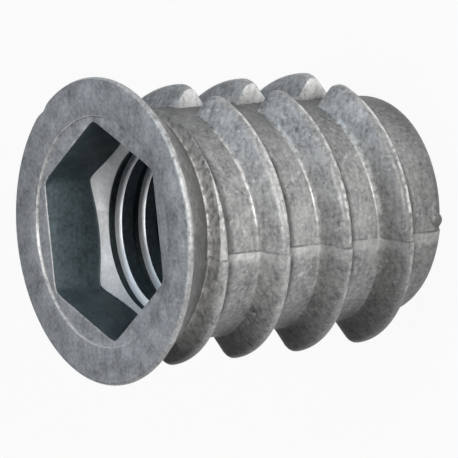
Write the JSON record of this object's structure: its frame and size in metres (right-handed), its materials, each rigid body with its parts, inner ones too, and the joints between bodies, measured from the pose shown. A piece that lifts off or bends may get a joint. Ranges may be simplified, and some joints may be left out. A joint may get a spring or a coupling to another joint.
{
  "type": "screw-in threaded insert",
  "caption": "Flanged screw-in insert for wood with a hexagon drive socket, a coarse interrupted wood thread outside and a machine thread inside.",
  "frame": {"origin": "centre of the lead end, on the axis of the bore", "axes": "+Z along the axis of both threads, from the lead end to the flange; +X through the middle of the front ridges, 30 degrees from a corner of the hexagon"},
  "size_m": [0.0162, 0.0162, 0.018],
  "materials": {
    "zinc_casting": "dull grey zinc casting, cloudy, slightly rough"
  },
  "bodies": {
    "root": {"insert": "zinc_casting"}
  },
  "joints": []
}
